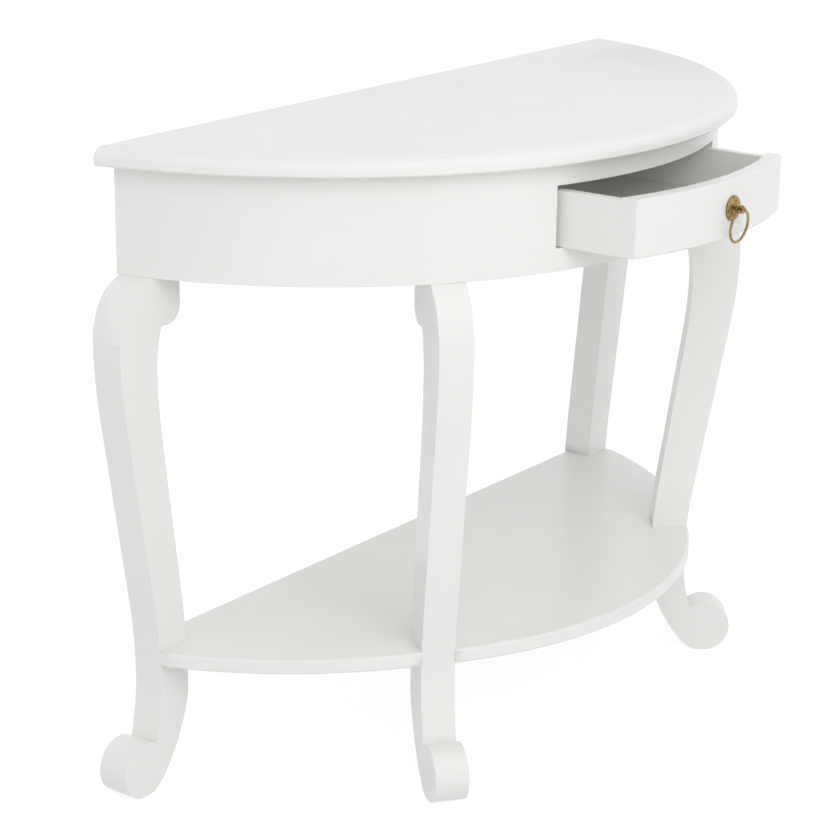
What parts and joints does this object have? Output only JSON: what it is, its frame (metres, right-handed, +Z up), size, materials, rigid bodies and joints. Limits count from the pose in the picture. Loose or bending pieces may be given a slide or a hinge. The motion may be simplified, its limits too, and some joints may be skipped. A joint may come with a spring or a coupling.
{
  "type": "demilune console table",
  "caption": "Half-moon hall table with a moulded top, bent apron, sawn cabriole legs with scroll feet, a low shelf and a sliding drawer with a ring pull.",
  "frame": {"origin": "on the floor, under the middle of the table's overall width and depth with the drawer as pictured", "axes": "+Z up, -Y towards the front, where the drawer opens, +X to the right as seen from the front"},
  "size_m": [1.034, 0.5002, 0.73],
  "materials": {
    "white_paint": "satin white paint on wood",
    "raw_wood": "planed, unfinished",
    "zinc_steel": "zinc plated",
    "aged_brass": "antique, dark"
  },
  "bodies": {
    "frame": {"table_top": "white_paint", "apron_left": "white_paint", "apron_right": "white_paint", "apron_upper_rail": "white_paint", "apron_lower_rail": "white_paint", "back_rail": "white_paint", "leg_back_left": "white_paint", "leg_front_left": "white_paint", "leg_front_right": "white_paint", "leg_back_right": "white_paint", "shelf": "white_paint", "drawer_runner_left": "raw_wood", "drawer_runner_right": "raw_wood", "drawer_kicker_left": "raw_wood", "drawer_kicker_right": "raw_wood", "drawer_stops": "raw_wood", "glue_blocks": "raw_wood", "back_rail_dowels": "raw_wood", "apron_dowels": "raw_wood", "top_screws": "zinc_steel", "leg_screws": "zinc_steel", "runner_screws": "zinc_steel"},
    "drawer": {"drawer_front": "white_paint", "drawer_side_left": "white_paint", "drawer_side_right": "white_paint", "drawer_back": "white_paint", "drawer_bottom": "white_paint", "drawer_dowels": "raw_wood", "drawer_pins": "zinc_steel", "pull_rosette": "aged_brass", "pull_post": "aged_brass", "pull_washer": "aged_brass", "pull_nut": "aged_brass"},
    "ring": {"pull_ring": "aged_brass"}
  },
  "joints": [
    {"name": "drawer_slide", "type": "slide", "parent": "frame", "child": "drawer", "axis": [0, -1, 0], "range_m": [-0.092, 0.13]},
    {"name": "ring_swing", "type": "hinge", "parent": "drawer", "child": "ring", "pos_m": [0, -0.24535, 0.6494], "axis": [-1, 0, 0], "range_deg": [-8, 177]}
  ]
}
